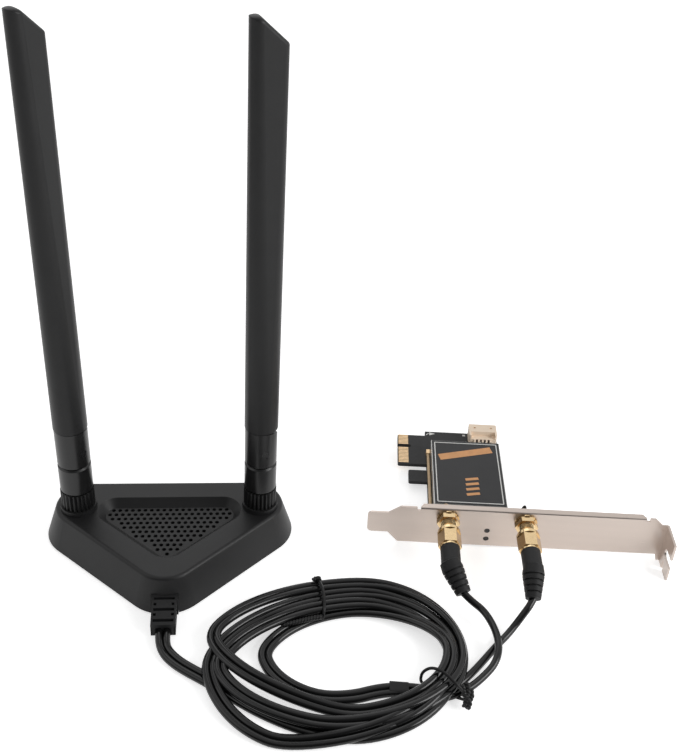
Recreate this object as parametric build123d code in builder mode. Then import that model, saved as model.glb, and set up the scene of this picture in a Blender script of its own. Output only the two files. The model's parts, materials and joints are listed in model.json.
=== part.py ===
"""Plug-in wireless card, its two coaxial leads and a corded base with two folding antennas.

Millimetres, +Z up, X to the right and Y away from the front. Pieces of the base are drawn in the
base's frame, pieces of an antenna in the antenna's, pieces of the card in the card's, and each is
placed as it lies on the table.
"""

import os
from math import atan2, cos, degrees, pi, radians, sin, sqrt, tan

from build123d import *

# Antenna base: a triangle with round corners, drafted walls and a dished grille
base_width = 97.0
base_front = 44.4
base_back = 18.0
base_corner = 16.5
base_height = 14.6
base_draft = 17.5
base_rim_round = 1.6
base_turn = 7.1
shell_wall = 2.0
shell_top = 2.2
shell_lift = 0.7
seat_radius = 7.0
seat_rise = 2.0
pad_thickness = 1.0
pad_inset = 4.5
plate_thickness = 2.0
plate_gap = 0.1
dish_depth = 3.0
dish_run = 3.0
grille_thickness = 1.6
grille_corner = 4.5
grille_pitch = 2.46
grille_hole = 1.75
grille_margin = 1.3
grille_rows = 11
grille_gap = 0.05
boss_radius = 2.9
boss_spread = 24.0
boss_back = 9.3
screw_radius = 1.2
screw_head_radius = 2.4
screw_head = 1.2
screw_depth = 6.0

# Strain relief at the front of the base
relief_width = 9.9
relief_tip_width = 8.7
relief_reach = 12.4
relief_inside = 8.4
relief_lip = 13.0
relief_lip_depth = 2.0
relief_top = 8.0
relief_tip_top = 5.2
relief_tip_low = 0.4
relief_cheek = 0.7
relief_mouth = 2.8
relief_slot = 1.5
relief_slot_depth = 1.7
relief_slots = 3
relief_slot_first = 1.3
relief_slot_pitch = 2.9
relief_gap = 0.1

# Folding antennas
antenna_spacing = 70.6
left_turn = 47.0
right_turn = 15.0
jack_radius = 3.15
jack_flange = 8.6
jack_flange_height = 1.6
jack_tail_radius = 2.2
jack_tail = 5.0
jack_reach = 8.0
thread_gap = 0.1
jack_bevel = 0.4
collar_radius = 6.4
collar_height = 7.9
collar_knurls = 24
knurl_size = 0.9
sleeve_radius = 6.2
sleeve_height = 12.3
sleeve_bevel = 0.6
spigot_radius = 3.5
spigot_height = 1.7
swivel_gap = 0.3
fork_radius = 6.15
pin_height = 6.9
ear_reach = 9.5
slot_width = 5.0
tongue_width = 4.6
tongue_round = 4.2
tongue_gap = 0.3
pin_radius = 1.5
pin_gap = 0.05
shoulder_gap = 0.3
blade_length = 154.0
blade_width = 12.7
spine_foot_radius = 6.25
spine_tip_radius = 3.1
edge_foot_radius = 6.2
edge_tip_radius = 1.6
tip_slant = 11.3
tip_round = 1.3

# Slot bracket
sheet = 0.86
bracket_length = 120.02
bracket_height = 18.42
tongue_length = 8.3
bracket_tongue = 10.19
bracket_tongue_low = 4.8
lower_shoulder = 12.4
upper_shoulder = 13.1
tongue_corner = 1.8
tab_drop = 3.17
tab_length = 11.43
tab_root = 5.9
tab_step = 3.0
tab_notch = 4.42
tab_notch_depth = 5.2
tab_notch_height = 5.5
tab_slot = 1.6
tab_slot_depth = 4.6
tab_slot_reach = 5.2
bend_round = 1.2
flange_start = 21.0
flange_end = 110.4
flange_depth = 2.7
flange_bevel = 1.2
relief_notch = 1.4
lamp_hole = 2.3
lamp_across = 48.2
lamp_low = 3.7
lamp_pitch = 4.3
ear_width = 7.0
ear_depth = 8.0
ear_left = 31.0
ear_right = 53.5
ear_screw_radius = 1.5

# Carrier board
board_low = 2.4
board_thickness = 1.6
board_left = 25.4
board_right = 58.0
board_back = 68.9
board_gap = 0.1
edge_start = 45.0
edge_near = 11.75
edge_far = 7.05
edge_key = 1.9
edge_key_depth = 6.2
edge_left = 12.8
edge_corner = 1.0
contact_pitch = 1.0
contact_first = 0.6
contact_width = 0.7
contact_length = 4.4
contact_thickness = 0.1
contact_inset = 0.4
near_contacts = 11
far_contacts = 7
catch_left = 17.4
catch_start = 33.2
catch_width = 7.7

# Radio module under its cover
socket_cheek = 0.9
socket_depth = 8.7
socket_height = 3.2
module_width = 22.0
module_length = 30.0
module_thickness = 0.8
module_lift = 1.9
module_insert = 4.0
can_margin = 1.6
can_height = 1.4
post_radius = 2.6
post_screw_radius = 1.0
post_head_radius = 2.2
post_head = 0.8
cover_left = 27.3
cover_right = 57.4
cover_near = 12.0
cover_back = 54.3
cover_top = 6.4
cover_thickness = 1.6
cover_wall = 1.0
film_thickness = 0.2
film_inset = 0.3

# Four-pin header at the back of the board
header_left = 44.9
header_width = 12.4
header_depth = 8.0
header_height = 6.1
header_overhang = -0.8
header_wall = 0.9
header_hollow = 5.0
header_dimple = 0.6
header_dimple_inset = 2.5
header_dimple_depth = 0.5
header_recess = 2.2
header_recess_depth = 2.6
header_pitch = 2.5
header_pins_count = 4
header_pin = 0.64
header_pin_level = 2.6
header_pin_out = 1.7
header_tail = 3.6
header_pin_in = 6.4

# Bulkhead jacks, their nuts and the plugs of the leads
left_jack_across = 32.1
right_jack_across = 63.1
jack_level = 13.2
barrel_radius = 3.1
barrel_reach = 13.0
barrel_gap = 0.1
bulkhead_hex = 8.0
bulkhead_hex_depth = 2.0
crimp_radius = 2.2
crimp_length = 3.0
washer_radius = 4.5
washer_thickness = 0.7
washer_teeth = 10
washer_tooth = 0.7
nut_hex = 8.0
nut_thickness = 2.4
nut_clear = 4.7
plug_hex = 8.0
plug_nut_length = 8.4
plug_collar_radius = 4.5
plug_collar = 1.4
plug_end_wall = 1.2
core_radius = 2.3
core_reach = 5.0
ferrule_radius = 3.9
ferrule_length = 1.0
boot_radius = 3.8
boot_sleeve = 9.0
boot_length = 11.0
boot_rib_radius = 4.2
boot_tip_radius = 2.9
boot_ribs = 4
boot_groove = 0.7
boot_droop = 27.0
left_sway = 28.0
right_sway = -3.0

# Pigtails from the board to the jacks
pigtail_radius = 0.65
pigtail_inset = 0.85
pigtail_start = 51.0
short_pigtail_across = 56.9
short_pigtail_along = 10.3
short_pigtail_rise = 2.5
short_pigtail_arch = 3.5
pigtail_turn = 3.2
pigtail_bend = 1.4
terminal_length = 2.6
terminal_width = 1.5
terminal_height = 1.7

# Leads on the table: outer radius, coil, ties and the sleeve where the pair divides
lead_radius = 1.375
lead_pair = 2.85
lead_exit = 4.6
lead_mouth_level = 2.6
lead_corner_share = 0.45
coil_width = 96.0
coil_depth = 80.0
coil_corner = 39.0
coil_hole_width = 63.0
coil_hole_depth = 35.0
coil_hole_corner = 16.5
coil_height = 7.0
coil_across = 69.0
coil_along = -58.0
coil_hole_shift = 7.5
coil_hole_lift = 1.5
coil_bevel = 2.0
tie_thickness = 0.85
tie_width = 1.6
tie_gap = 0.05
back_tie_across = 62.0
back_tie_span = 21.2
back_tie_along = -28.5
front_tie_across = 107.0
front_tie_along = -70.0
front_tie_span = 17.0
front_tie_turn = -22.0
split_length = 6.6
split_width = 5.6
split_height = 3.2
split_across = 91.4
split_clear = 0.45

# Where the card lies: the bracket's lower shoulder on the table
card_across = 91.2
card_along = 4.44

# Heights that follow from the sizes above
plate_top = pad_thickness + plate_thickness
grille_top = base_height - dish_depth
grille_low = grille_top - grille_thickness
collar_low = base_height + seat_rise
sleeve_low = collar_low + collar_height
sleeve_top = sleeve_low + sleeve_height
fork_low = sleeve_top + swivel_gap
pin_level = fork_low + pin_height
blade_low = pin_level + ear_reach + shoulder_gap
blade_top = blade_low + blade_length
board_top = board_low + board_thickness
tab_top = bracket_height - tab_drop
tab_start = bracket_length - tab_root
module_low = board_top + module_lift
cover_level = board_top + cover_top
coil_low = tie_thickness + tie_gap
draft_slope = tan(radians(base_draft))
core_half = base_width / 2 - base_corner
core_back = base_back - base_corner
core_front = base_corner - base_front
core_slope = (core_back - core_front) / core_half
core_corners = [(0, core_front), (core_half, core_back), (-core_half, core_back)]

pieces = {}
cord_pieces = {}
base_place = Location((0, 0, 0), (0, 0, base_turn))


def keep(name, part, place, on_cord=False):
    """Label a finished piece and place it as it lies on the table."""
    placed = place * part
    placed.label = name
    pieces[name] = placed
    if on_cord:
        cord_pieces[name] = placed


# Base shell
with BuildPart() as base_shell:
    with BuildSketch(Plane.XY.offset(shell_lift)):
        Polygon(*core_corners, align=None)
        offset(amount=base_corner)
    extrude(amount=base_height - shell_lift, taper=base_draft)
    fillet(base_shell.faces().sort_by(Axis.Z)[-1].edges(), base_rim_round)
    with BuildSketch(Plane.XY.offset(shell_lift)):
        Polygon(*core_corners, align=None)
        offset(amount=base_corner - shell_wall)
    extrude(amount=base_height - shell_top - shell_lift, taper=base_draft, mode=Mode.SUBTRACT)
    with BuildSketch(Plane.XY.offset(grille_low)):
        Polygon(*core_corners, align=None)
        offset(amount=dish_run + shell_wall)
    extrude(amount=base_height - shell_top - grille_low)
    with BuildSketch(Plane.XY.offset(plate_top)):
        with Locations((-boss_spread, boss_back), (boss_spread, boss_back)):
            Circle(boss_radius)
    extrude(amount=base_height - shell_top - plate_top)
    with BuildSketch(Plane.XY.offset(grille_top)) as dish_floor:
        Polygon(*core_corners, align=None)
        fillet(dish_floor.vertices(), grille_corner)
    extrude(amount=dish_depth, taper=-degrees(atan2(dish_run, dish_depth)), mode=Mode.SUBTRACT)
    with BuildSketch(Plane.XY.offset(grille_low)) as grille_window:
        Polygon(*core_corners, align=None)
        fillet(grille_window.vertices(), grille_corner)
    extrude(amount=grille_thickness, mode=Mode.SUBTRACT)
    with BuildSketch(Plane.XY.offset(base_height - shell_top)):
        with Locations((-antenna_spacing / 2, 0), (antenna_spacing / 2, 0)):
            Circle(seat_radius)
    extrude(amount=shell_top + seat_rise)
    with BuildSketch(Plane.XY.offset(plate_top)):
        with Locations((-antenna_spacing / 2, 0), (antenna_spacing / 2, 0)):
            Circle(jack_radius + thread_gap)
    extrude(amount=collar_low - plate_top, mode=Mode.SUBTRACT)
    with BuildSketch(Plane.XY.offset(plate_top)):
        with Locations((-antenna_spacing / 2, 0), (antenna_spacing / 2, 0)):
            Circle(jack_flange / 2 / cos(pi / 6) + thread_gap)
    extrude(amount=base_height - shell_top - plate_top, mode=Mode.SUBTRACT)
    with BuildSketch(Plane.XY.offset(plate_top)):
        with Locations((-boss_spread, boss_back), (boss_spread, boss_back)):
            Circle(screw_radius)
    extrude(amount=screw_depth, mode=Mode.SUBTRACT)
    with BuildSketch(Plane.XY.offset(shell_lift)):
        with Locations((0, -base_front)):
            Rectangle(relief_width + 2 * relief_gap, 2 * relief_inside)
    extrude(amount=relief_top + relief_gap - shell_lift, mode=Mode.SUBTRACT)
keep("base_shell", base_shell.part, base_place)

# Grille plate: staggered rows of holes that fill the dished triangle
with BuildPart() as grille_plate:
    with BuildSketch(Plane.XY.offset(grille_low)) as grille_face:
        Polygon(*core_corners, align=None)
        fillet(grille_face.vertices(), grille_corner)
        offset(amount=-grille_gap)
        for row in range(grille_rows):
            row_y = core_back - grille_margin - grille_pitch * row
            side_room = (row_y - core_front) / core_slope - grille_margin / sin(atan2(core_slope, 1))
            corner_room = core_half - (pi / 2) * grille_corner - grille_margin / 2
            row_room = min(side_room, corner_room)
            stagger = grille_pitch / 2 * (row % 2)
            count = int((row_room - stagger) // grille_pitch)
            row_holes = [stagger + grille_pitch * step for step in range(count + 1)]
            row_holes += [-across for across in row_holes if across > 0]
            with Locations(*[(across, row_y) for across in row_holes]):
                RegularPolygon(grille_hole / 2, 6, mode=Mode.SUBTRACT)
    extrude(amount=grille_thickness)
keep("grille_plate", grille_plate.part, base_place)

# Steel bottom plate with countersunk screws, and the rubber pad under it
plate_grow = base_corner - shell_wall - plate_gap - (pad_thickness - shell_lift) * draft_slope
with BuildPart() as base_plate:
    with BuildSketch(Plane.XY.offset(pad_thickness)):
        Polygon(*core_corners, align=None)
        offset(amount=plate_grow)
    extrude(amount=plate_thickness, taper=base_draft)
    with Locations((-boss_spread, boss_back, pad_thickness), (boss_spread, boss_back, pad_thickness)):
        Cone(screw_head_radius, screw_radius, screw_head,
             align=(Align.CENTER, Align.CENTER, Align.MIN), mode=Mode.SUBTRACT)
        Cylinder(screw_radius, plate_thickness,
                 align=(Align.CENTER, Align.CENTER, Align.MIN), mode=Mode.SUBTRACT)
keep("base_plate", base_plate.part, base_place)

with BuildPart() as base_screws:
    with Locations((-boss_spread, boss_back, pad_thickness), (boss_spread, boss_back, pad_thickness)):
        Cone(screw_head_radius, screw_radius, screw_head, align=(Align.CENTER, Align.CENTER, Align.MIN))
        Cylinder(screw_radius, plate_thickness + screw_depth, align=(Align.CENTER, Align.CENTER, Align.MIN))
keep("base_screws", base_screws.part, base_place)

with BuildPart() as rubber_pad:
    with BuildSketch():
        Polygon(*core_corners, align=None)
        offset(amount=base_corner - pad_inset)
    extrude(amount=pad_thickness)
keep("rubber_pad", rubber_pad.part, base_place)

# Strain relief: a tapering block with cross slots between two cheeks
relief_back = -base_front + relief_inside
relief_tip = -base_front - relief_reach
relief_step = core_front - plate_grow - plate_gap
lead_mouth = relief_tip + relief_mouth
with BuildPart() as strain_relief:
    with BuildSketch(Plane.YZ.offset(-relief_width / 2)):
        with BuildLine():
            Polyline(
                (relief_back, plate_top), (relief_step, plate_top), (relief_step, pad_thickness),
                (relief_tip, relief_tip_low), (relief_tip, relief_tip_top), (-base_front, relief_top),
                (relief_back, relief_top), close=True,
            )
        make_face()
    extrude(amount=relief_width)
    with BuildSketch(Plane.XY.offset(relief_tip_low)):
        Polygon(
            (-relief_width / 2, relief_back), (-relief_width / 2, -base_front),
            (-relief_tip_width / 2, relief_tip), (relief_tip_width / 2, relief_tip),
            (relief_width / 2, -base_front), (relief_width / 2, relief_back), align=None,
        )
    extrude(amount=relief_top, mode=Mode.INTERSECT)
    with BuildSketch(Plane.XY.offset(plate_top)):
        with Locations((0, relief_back - relief_lip_depth / 2)):
            Rectangle(relief_lip, relief_lip_depth)
    extrude(amount=relief_top - plate_top)
    with BuildSketch(Plane.XY.offset(lead_mouth_level - lead_radius - relief_gap)):
        with Locations((0, relief_tip)):
            Rectangle(relief_tip_width - 2 * relief_cheek, 2 * relief_mouth)
    extrude(amount=relief_top, mode=Mode.SUBTRACT)
    for slot in range(relief_slots):
        slot_y = -base_front - relief_slot_first - relief_slot_pitch * slot
        slot_top = relief_top + (relief_tip_top - relief_top) * (-base_front - slot_y) / relief_reach
        with Locations((0, slot_y, slot_top)):
            Box(relief_tip_width - 2 * relief_cheek, relief_slot, 2 * relief_slot_depth, mode=Mode.SUBTRACT)
keep("strain_relief", strain_relief.part, base_place)

# Threaded jacks of the base
with BuildPart() as base_jack:
    with BuildSketch(Plane.XY.offset(base_height - shell_top)):
        Circle(jack_radius)
    extrude(amount=shell_top + jack_reach)
    with BuildSketch(Plane.XY.offset(base_height - shell_top)):
        RegularPolygon(jack_flange / 2, 6, major_radius=False)
    extrude(amount=-jack_flange_height)
    with BuildSketch(Plane.XY.offset(base_height - shell_top - jack_flange_height)):
        Circle(jack_tail_radius)
    extrude(amount=-jack_tail)
    chamfer(base_jack.faces().sort_by(Axis.Z)[-1].edges(), jack_bevel)

# Antenna collar: the knurled nut that screws onto the jack
with BuildPart() as collar:
    with BuildSketch(Plane.XY.offset(collar_low)):
        Circle(collar_radius)
        with PolarLocations(collar_radius, collar_knurls):
            Rectangle(knurl_size, knurl_size, rotation=45, mode=Mode.SUBTRACT)
    extrude(amount=collar_height)
    with BuildSketch(Plane.XY.offset(collar_low)):
        Circle(jack_radius + thread_gap)
    extrude(amount=jack_reach - seat_rise + thread_gap, mode=Mode.SUBTRACT)

# Antenna sleeve with the spigot that the fork turns on
with BuildPart() as sleeve:
    with BuildSketch(Plane.XY.offset(sleeve_low)):
        Circle(sleeve_radius)
    extrude(amount=sleeve_height)
    chamfer(sleeve.edges().filter_by(GeomType.CIRCLE), sleeve_bevel)
    with BuildSketch(Plane.XY.offset(sleeve_top)):
        Circle(spigot_radius)
    extrude(amount=spigot_height)

# Antenna fork: two ears round a slot, open on the side that the blade folds to
slot_low = pin_level - tongue_round - tongue_gap
ear_corner = sqrt(ear_reach**2 - fork_radius**2)
with BuildPart() as fork:
    with BuildSketch(Plane.XZ):
        with BuildLine():
            Polyline((0, pin_level + ear_reach), (-fork_radius, pin_level + ear_reach),
                     (-fork_radius, fork_low), (fork_radius, fork_low), (fork_radius, pin_level + ear_corner))
            RadiusArc((0, pin_level + ear_reach), (fork_radius, pin_level + ear_corner), ear_reach)
        make_face()
    extrude(amount=fork_radius, both=True)
    with BuildSketch(Plane.XY.offset(fork_low)):
        Circle(fork_radius)
    extrude(amount=pin_height + ear_reach, mode=Mode.INTERSECT)
    chamfer(fork.faces().sort_by(Axis.Z)[0].edges(), sleeve_bevel)
    with BuildSketch(Plane.XZ):
        with Locations((-tongue_round - tongue_gap, slot_low)):
            Rectangle(3 * fork_radius, blade_low - slot_low, align=(Align.MIN, Align.MIN))
    extrude(amount=slot_width / 2, both=True, mode=Mode.SUBTRACT)
    with BuildSketch(Plane.XY.offset(fork_low)):
        Circle(spigot_radius + swivel_gap / 2)
    extrude(amount=spigot_height, mode=Mode.SUBTRACT)
    with BuildSketch(Plane.XZ):
        with Locations((0, pin_level)):
            Circle(pin_radius + pin_gap)
    extrude(amount=fork_radius, both=True, mode=Mode.SUBTRACT)

with BuildPart() as hinge_pin:
    with BuildSketch(Plane.XZ):
        with Locations((0, pin_level)):
            Circle(pin_radius)
    extrude(amount=fork_radius - pin_gap, both=True)

# Antenna blade: a round foot that turns into a wedge with a thick spine, cut off at a slant
blade_sections = [
    (blade_low, spine_foot_radius, edge_foot_radius),
    (blade_top, spine_tip_radius, edge_tip_radius),
]
blade_cut = Plane((0, 0, blade_top - tip_slant / 2), z_dir=(tip_slant, 0, blade_width))
with BuildPart() as blade:
    for level, spine_radius, edge_radius in blade_sections:
        with BuildSketch(Plane.XY.offset(level)):
            with Locations((spine_radius - blade_width / 2, 0)):
                Circle(spine_radius)
            with Locations((blade_width / 2 - edge_radius, 0)):
                Circle(edge_radius)
            make_hull()
    loft(ruled=True)
    split(bisect_by=blade_cut, keep=Keep.BOTTOM)
    fillet(blade.faces().sort_by(Axis.Z)[-1].edges(), tip_round)
    with BuildSketch(Plane.XZ):
        with BuildLine():
            Polyline((-tongue_round, pin_level), (-tongue_round, blade_low), (tongue_round, blade_low),
                     (tongue_round, pin_level))
            ThreePointArc((tongue_round, pin_level), (0, pin_level - tongue_round),
                          (-tongue_round, pin_level))
        make_face()
    extrude(amount=tongue_width / 2, both=True)
    with BuildSketch(Plane.XZ):
        with Locations((0, pin_level)):
            Circle(pin_radius + 2 * pin_gap)
    extrude(amount=tongue_width, both=True, mode=Mode.SUBTRACT)

# The two antennas on the base, with their jacks and the leads inside
for side, hand, turn in (("left", -1, left_turn), ("right", 1, right_turn)):
    stand = base_place * Location((hand * antenna_spacing / 2, 0, 0), (0, 0, turn))
    keep(f"{side}_base_jack", base_jack.part, stand)
    keep(f"{side}_collar", collar.part, stand)
    keep(f"{side}_sleeve", sleeve.part, stand)
    keep(f"{side}_fork", fork.part, stand)
    keep(f"{side}_hinge_pin", hinge_pin.part, stand)
    keep(f"{side}_blade", blade.part, stand)

for side, hand in (("left", -1), ("right", 1)):
    tail_level = base_height - shell_top - jack_flange_height - jack_tail + lead_radius
    tail = Vector(hand * antenna_spacing / 2, 0, tail_level)
    gland = Vector(hand * lead_radius * 2, relief_back, tail_level)
    aim = (gland - tail).normalized()
    start = tail + aim * (jack_tail_radius + plate_gap)
    end = gland - aim * (lead_radius * abs(aim.X) / abs(aim.Y) + plate_gap)
    with BuildPart() as inner_lead:
        with BuildSketch(Plane(start, z_dir=aim)):
            Circle(lead_radius)
        extrude(amount=(end - start).length)
    keep(f"{side}_inner_lead", inner_lead.part, base_place)

# Bracket: one bent sheet with a tongue, a stiffening flange and a screw tab
shoulder_rise = bracket_tongue_low + bracket_tongue
with BuildPart() as bracket:
    with BuildSketch(Plane.XZ.offset(-sheet)) as bracket_face:
        Polygon(
            (0, bracket_tongue_low), (tongue_length, bracket_tongue_low), (lower_shoulder, 0),
            (tab_start + tab_step, 0), (tab_start + tab_step + sheet, -tab_drop),
            (bracket_length, -tab_drop), (bracket_length, tab_top),
            (tab_start + tab_drop, tab_top), (tab_start, bracket_height), (upper_shoulder, bracket_height),
            (tongue_length, shoulder_rise), (0, shoulder_rise), align=None,
        )
        fillet(bracket_face.vertices().group_by(Axis.X)[0], tongue_corner)
        with Locations((left_jack_across, jack_level), (right_jack_across, jack_level)):
            Circle(barrel_radius + barrel_gap, mode=Mode.SUBTRACT)
        with Locations((lamp_across, lamp_low), (lamp_across, lamp_low + lamp_pitch)):
            Circle(lamp_hole / 2, mode=Mode.SUBTRACT)
        with Locations((flange_start - relief_notch / 2, bracket_height),
                       (flange_end + relief_notch / 2, bracket_height)):
            Rectangle(relief_notch, 2 * relief_notch, mode=Mode.SUBTRACT)
    extrude(amount=sheet)
    with BuildSketch(Plane.XY.offset(bracket_height - sheet)):
        Polygon(
            (flange_start, 0), (flange_end, 0), (flange_end, sheet),
            (flange_end - flange_bevel, flange_depth), (flange_start + flange_bevel, flange_depth),
            (flange_start, sheet), align=None,
        )
    extrude(amount=sheet)
    with BuildSketch(Plane.YZ.offset(bracket_length - sheet)):
        with Locations(((sheet - tab_length) / 2, tab_top - bracket_height / 2)):
            Rectangle(tab_length + sheet, bracket_height)
        with Locations((-tab_length + tab_notch_depth / 2, tab_notch_height)):
            SlotOverall(2 * tab_notch_depth, tab_notch, mode=Mode.SUBTRACT)
        with Locations((-tab_slot_reach, -tab_drop)):
            SlotOverall(2 * tab_slot_depth, tab_slot, rotation=90, mode=Mode.SUBTRACT)
    extrude(amount=sheet)
    with BuildSketch(Plane.XY.offset(board_top)):
        with Locations((ear_left, sheet + ear_depth / 2), (ear_right, sheet + ear_depth / 2)):
            Rectangle(ear_width, ear_depth)
            Circle(ear_screw_radius, mode=Mode.SUBTRACT)
    extrude(amount=sheet)
    tab_bend = bracket.edges().filter_by(Axis.Z).filter_by_position(Axis.X, bracket_length, bracket_length)
    fillet(tab_bend.filter_by_position(Axis.Y, sheet, sheet), bend_round)
    flange_bend = bracket.edges().filter_by(Axis.X).filter_by_position(Axis.Z, bracket_height, bracket_height)
    fillet(flange_bend.filter_by_position(Axis.Y, 0, 0).sort_by(Edge.length)[-1], bend_round - sheet / 2)

# Carrier board with the edge connector, its key slot and the catch behind it
edge_end = edge_start + edge_near + edge_key + edge_far
with BuildPart() as carrier_board:
    with BuildSketch(Plane.XY.offset(board_low)) as board_face:
        board_front = sheet + board_gap
        with Locations(((board_left + board_right) / 2, (board_front + board_back) / 2)):
            Rectangle(board_right - board_left, board_back - board_front)
        with Locations(((edge_left + board_left) / 2, (edge_start + edge_end) / 2)):
            Rectangle(board_left - edge_left, edge_end - edge_start)
        with Locations(((catch_left + board_left) / 2, catch_start + catch_width / 2)):
            Rectangle(board_left - catch_left, catch_width)
        fillet(board_face.vertices().filter_by_position(Axis.X, edge_left, catch_left), edge_corner)
        with Locations((edge_left, edge_start + edge_near + edge_key / 2)):
            SlotOverall(2 * edge_key_depth, edge_key, mode=Mode.SUBTRACT)
        with Locations((ear_left, sheet + ear_depth / 2), (ear_right, sheet + ear_depth / 2)):
            Circle(ear_screw_radius, mode=Mode.SUBTRACT)
        header_row = board_back + header_overhang - header_depth - header_pin_out
        for pin in range(header_pins_count):
            pin_across = header_left + header_width / 2 + header_pitch * (pin - (header_pins_count - 1) / 2)
            with Locations((pin_across, header_row)):
                Rectangle(header_pin, header_pin, mode=Mode.SUBTRACT)
    extrude(amount=board_thickness)

# Edge contacts on both faces
key_near = edge_start + edge_near
key_far = key_near + edge_key
contact_rows = [key_near - contact_first - contact_pitch * step for step in range(near_contacts)]
contact_rows += [key_far + contact_first + contact_pitch * step for step in range(far_contacts)]
contact_across = edge_left + contact_inset + contact_length / 2
with BuildPart() as edge_contacts:
    for level in (board_low - contact_thickness / 2, board_top + contact_thickness / 2):
        with Locations(*[(contact_across, along, level) for along in contact_rows]):
            Box(contact_length, contact_width, contact_thickness)

# Radio module: socket, board, can, post with its screw, and the pad to the cover
module_across = (cover_left + cover_right) / 2
socket_back = cover_back - cover_wall - board_gap
socket_near = socket_back - socket_depth
module_back = socket_near + module_insert
module_near = module_back - module_length
with BuildPart() as module_socket:
    with BuildSketch(Plane.XY.offset(board_top)):
        with Locations((module_across, (socket_near + socket_back) / 2)):
            Rectangle(module_width + 2 * socket_cheek, socket_depth)
    extrude(amount=socket_height)
    with Locations((module_across, socket_near, module_low + module_thickness / 2)):
        Box(module_width + 2 * board_gap, 2 * (module_insert + board_gap), module_thickness + 2 * board_gap,
            mode=Mode.SUBTRACT)

with BuildPart() as module_board:
    with BuildSketch(Plane.XY.offset(module_low)):
        with Locations((module_across, (module_near + module_back) / 2)):
            Rectangle(module_width, module_length)
        with Locations((module_across, module_near)):
            Circle(post_screw_radius + board_gap, mode=Mode.SUBTRACT)
    extrude(amount=module_thickness)

can_far = socket_near - can_margin
can_near = module_near + post_head_radius + can_margin
with BuildPart() as shield_can:
    with BuildSketch(Plane.XY.offset(module_low + module_thickness)):
        with Locations((module_across, (can_near + can_far) / 2)):
            RectangleRounded(module_width - 2 * can_margin, can_far - can_near, can_margin / 2)
    extrude(amount=can_height)

with BuildPart() as module_post:
    with BuildSketch(Plane.XY.offset(board_top)):
        with Locations((module_across, module_near)):
            RegularPolygon(post_radius, 6)
    extrude(amount=module_lift)

with BuildPart() as module_screw:
    with Locations((module_across, module_near, module_low)):
        Cylinder(post_screw_radius, module_thickness, align=(Align.CENTER, Align.CENTER, Align.MIN))
    with Locations((module_across, module_near, module_low + module_thickness)):
        Cylinder(post_head_radius, post_head, align=(Align.CENTER, Align.CENTER, Align.MIN))

can_top = module_low + module_thickness + can_height
cover_inner = cover_level - cover_thickness
with BuildPart() as thermal_pad:
    with BuildSketch(Plane.XY.offset(can_top)):
        with Locations((module_across, (can_near + can_far) / 2)):
            Rectangle(module_width - 4 * can_margin, can_far - can_near - 2 * can_margin)
    extrude(amount=cover_inner - can_top)

# Cover: a metal tray over the module, with a film on its face
cover_middle = (cover_near + cover_back) / 2
with BuildPart() as heat_cover:
    with BuildSketch(Plane.XY.offset(board_top)):
        with Locations((module_across, cover_middle)):
            Rectangle(cover_right - cover_left, cover_back - cover_near)
    extrude(amount=cover_top)
    with BuildSketch(Plane.XY.offset(board_top)):
        with Locations((module_across, cover_middle)):
            Rectangle(cover_right - cover_left - 2 * cover_wall, cover_back - cover_near - 2 * cover_wall)
    extrude(amount=cover_top - cover_thickness, mode=Mode.SUBTRACT)

with BuildPart() as cover_film:
    with BuildSketch(Plane.XY.offset(cover_level)):
        with Locations((module_across, cover_middle)):
            Rectangle(cover_right - cover_left - 2 * film_inset, cover_back - cover_near - 2 * film_inset)
    extrude(amount=film_thickness)

# Four-pin header: a side-entry housing with bent pins
header_across = header_left + header_width / 2
header_back = board_back + header_overhang
header_near = header_back - header_depth
with BuildPart() as header_housing:
    with BuildSketch(Plane.XY.offset(board_top)):
        with Locations((header_across, header_back - header_depth / 2)):
            Rectangle(header_width, header_depth)
    extrude(amount=header_height)
    fillet(header_housing.edges().filter_by(Axis.Z), header_wall / 2)
    with BuildSketch(Plane.XZ.offset(-header_back)):
        with Locations((header_across, board_top + header_height / 2)):
            Rectangle(header_width - 2 * header_wall, header_height - 2 * header_wall)
    extrude(amount=header_hollow, mode=Mode.SUBTRACT)
    with BuildSketch(Plane.XY.offset(board_top + header_height)):
        dimple_across = header_width / 2 - header_dimple_inset
        dimple_along = header_back - header_dimple_inset
        with Locations((header_across - dimple_across, dimple_along),
                       (header_across + dimple_across, dimple_along)):
            Circle(header_dimple)
    extrude(amount=-header_dimple_depth, mode=Mode.SUBTRACT)
    with BuildSketch(Plane.XY.offset(board_top + header_height)):
        with Locations((header_across, header_near)):
            Rectangle(header_width - 2 * header_wall, 2 * header_recess_depth)
    extrude(amount=-header_recess, mode=Mode.SUBTRACT)
    for pin in range(header_pins_count):
        pin_across = header_across + header_pitch * (pin - (header_pins_count - 1) / 2)
        with Locations((pin_across, header_near, board_top + header_pin_level)):
            Box(header_pin, header_depth, header_pin, mode=Mode.SUBTRACT)

with BuildPart() as header_pins:
    for pin in range(header_pins_count):
        pin_across = header_across + header_pitch * (pin - (header_pins_count - 1) / 2)
        pin_low = board_low - header_tail
        pin_high = board_top + header_pin_level + header_pin / 2
        with Locations((pin_across, header_row, (pin_low + pin_high) / 2)):
            Box(header_pin, header_pin, pin_high - pin_low)
        pin_tip = header_near + header_pin_in
        with Locations((pin_across, (header_row + pin_tip) / 2, board_top + header_pin_level)):
            Box(header_pin, pin_tip - header_row, header_pin)

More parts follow.
